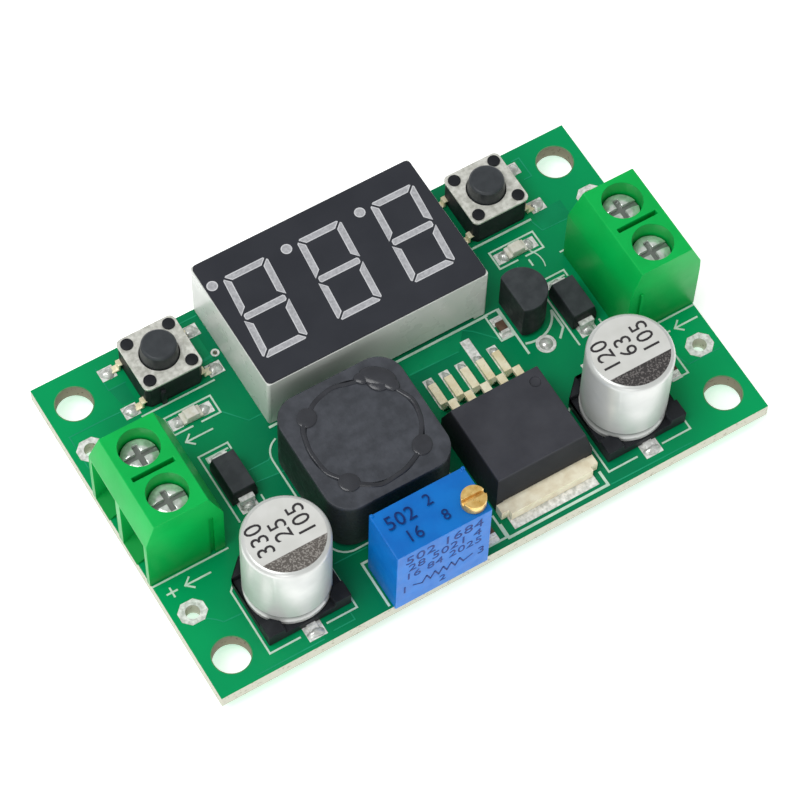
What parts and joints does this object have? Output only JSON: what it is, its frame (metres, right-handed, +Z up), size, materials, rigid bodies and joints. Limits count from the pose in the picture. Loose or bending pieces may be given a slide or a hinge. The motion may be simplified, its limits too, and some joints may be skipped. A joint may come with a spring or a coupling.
{
  "type": "voltage converter module",
  "caption": "Adjustable step-down voltage converter module on a green circuit board, with a digit display, screw terminals, push buttons, an inductor, capacitors and a slotted trimmer.",
  "frame": {"origin": "middle of the four mounting holes, on the underside of the board", "axes": "+X along the long edge from the output end to the input end, +Y to the back edge where the display is, +Z up out of the component side"},
  "size_m": [0.0572, 0.0358, 0.0143],
  "materials": {
    "solder_mask": "glossy green coating over glass fibre board",
    "tin": "tinned, satin",
    "solder": "bright solder",
    "terminal_green": "moulded, satin",
    "zinc": "zinc plated",
    "contact_metal": "tinned brass",
    "display_grey": "moulded, fine grain",
    "display_black": "printed face, satin",
    "light_guide": "cloudy resin",
    "lamp_board": "printed board",
    "black_plastic": "moulded, matt",
    "charcoal_plastic": "moulded, satin",
    "switch_steel": "satin stainless sheet",
    "ferrite": "dull ferrite",
    "copper": "enamelled copper wire",
    "resin": "cast resin",
    "can": "satin drawn aluminium",
    "trimmer_blue": "moulded, satin",
    "brass": "turned brass",
    "white_ceramic": "fired ceramic",
    "tan_plastic": "moulded",
    "chip_ceramic": "glazed ceramic",
    "lamp_clear": "clear moulded resin"
  },
  "bodies": {
    "module": {"chip_bodies": "chip_ceramic", "chip_end_caps": "tin", "circuit_board": "solder_mask", "controller_body": "black_plastic", "controller_leads": "tin", "diode_bodies": "black_plastic", "diode_leads": "tin", "display_face": "display_black", "display_housing": "display_grey", "display_lamp_board": "lamp_board", "display_light_guides": "light_guide", "display_pins": "tin", "indicator_lamps": "lamp_clear", "inductor_drum": "ferrite", "inductor_resin": "resin", "inductor_shield": "ferrite", "inductor_terminals": "tin", "inductor_winding": "copper", "input_capacitor_base": "black_plastic", "input_capacitor_can": "can", "input_capacitor_leads": "tin", "input_terminal_contacts": "contact_metal", "input_terminal_housing": "terminal_green", "left_switch_base": "black_plastic", "left_switch_cover": "switch_steel", "left_switch_legs": "tin", "left_switch_snap_dome": "switch_steel", "output_capacitor_base": "black_plastic", "output_capacitor_can": "can", "output_capacitor_leads": "tin", "output_terminal_contacts": "contact_metal", "output_terminal_housing": "terminal_green", "regulator_body": "charcoal_plastic", "regulator_heat_tab": "tin", "regulator_leads": "tin", "right_switch_base": "black_plastic", "right_switch_cover": "switch_steel", "right_switch_legs": "tin", "right_switch_snap_dome": "switch_steel", "solder_joints": "solder", "tinned_pads": "tin", "transistor_body": "black_plastic", "transistor_leads": "tin", "trimmer_base_plate": "tan_plastic", "trimmer_case": "trimmer_blue", "trimmer_pins": "tin", "trimmer_resistive_element": "white_ceramic"},
    "output_terminal_front_screw": {"output_terminal_front_screw": "zinc"},
    "output_terminal_front_cage": {"output_terminal_front_cage": "zinc"},
    "output_terminal_back_screw": {"output_terminal_back_screw": "zinc"},
    "output_terminal_back_cage": {"output_terminal_back_cage": "zinc"},
    "input_terminal_front_screw": {"input_terminal_front_screw": "zinc"},
    "input_terminal_front_cage": {"input_terminal_front_cage": "zinc"},
    "input_terminal_back_screw": {"input_terminal_back_screw": "zinc"},
    "input_terminal_back_cage": {"input_terminal_back_cage": "zinc"},
    "left_switch_button": {"left_switch_button": "charcoal_plastic"},
    "right_switch_button": {"right_switch_button": "charcoal_plastic"},
    "trimmer_adjuster_screw": {"trimmer_adjuster_screw": "brass"},
    "trimmer_wiper_wheel": {"trimmer_wiper_wheel": "white_ceramic"}
  },
  "joints": [
    {"name": "output_front_screw_turn", "type": "hinge", "parent": "module", "child": "output_terminal_front_screw", "pos_m": [-0.0249, -0.00234, 0.0101], "axis": [0, 0, -1], "range_deg": [0, 1440]},
    {"name": "output_front_cage_rise", "type": "slide", "parent": "module", "child": "output_terminal_front_cage", "axis": [0, 0, 1], "range_m": [0, 0.002]},
    {"name": "output_back_screw_turn", "type": "hinge", "parent": "module", "child": "output_terminal_back_screw", "pos_m": [-0.0249, 0.00274, 0.0101], "axis": [0, 0, -1], "range_deg": [0, 1440]},
    {"name": "output_back_cage_rise", "type": "slide", "parent": "module", "child": "output_terminal_back_cage", "axis": [0, 0, 1], "range_m": [0, 0.002]},
    {"name": "input_front_screw_turn", "type": "hinge", "parent": "module", "child": "input_terminal_front_screw", "pos_m": [0.0249, -0.00234, 0.0101], "axis": [0, 0, -1], "range_deg": [0, 1440]},
    {"name": "input_front_cage_rise", "type": "slide", "parent": "module", "child": "input_terminal_front_cage", "axis": [0, 0, 1], "range_m": [0, 0.002]},
    {"name": "input_back_screw_turn", "type": "hinge", "parent": "module", "child": "input_terminal_back_screw", "pos_m": [0.0249, 0.00274, 0.0101], "axis": [0, 0, -1], "range_deg": [0, 1440]},
    {"name": "input_back_cage_rise", "type": "slide", "parent": "module", "child": "input_terminal_back_cage", "axis": [0, 0, 1], "range_m": [0, 0.002]},
    {"name": "left_button_press", "type": "slide", "parent": "module", "child": "left_switch_button", "axis": [0, 0, -1], "range_m": [0, 0.00025], "stiffness_N_per_m": 400, "springref_m": -0.001, "deforming": ["left_switch_snap_dome"]},
    {"name": "right_button_press", "type": "slide", "parent": "module", "child": "right_switch_button", "axis": [0, 0, -1], "range_m": [0, 0.00025], "stiffness_N_per_m": 400, "springref_m": -0.001, "deforming": ["right_switch_snap_dome"]},
    {"name": "adjuster_turn", "type": "hinge", "parent": "module", "child": "trimmer_adjuster_screw", "pos_m": [-0.00274, -0.01653, 0.0128], "axis": [0, 0, 1], "range_deg": [-4500, 4500]},
    {"name": "wiper_turn", "type": "hinge", "parent": "module", "child": "trimmer_wiper_wheel", "pos_m": [-0.00625, -0.01653, 0.0066], "axis": [0, 1, 0], "range_deg": [-150, 150]}
  ],
  "couplings": [
    {"joint": "output_front_screw_turn", "follows": "output_front_cage_rise", "rad_per_m": 12566},
    {"joint": "output_back_screw_turn", "follows": "output_back_cage_rise", "rad_per_m": 12566},
    {"joint": "input_front_screw_turn", "follows": "input_front_cage_rise", "rad_per_m": 12566},
    {"joint": "input_back_screw_turn", "follows": "input_back_cage_rise", "rad_per_m": 12566},
    {"joint": "wiper_turn", "follows": "adjuster_turn", "ratio": 0.03333}
  ]
}
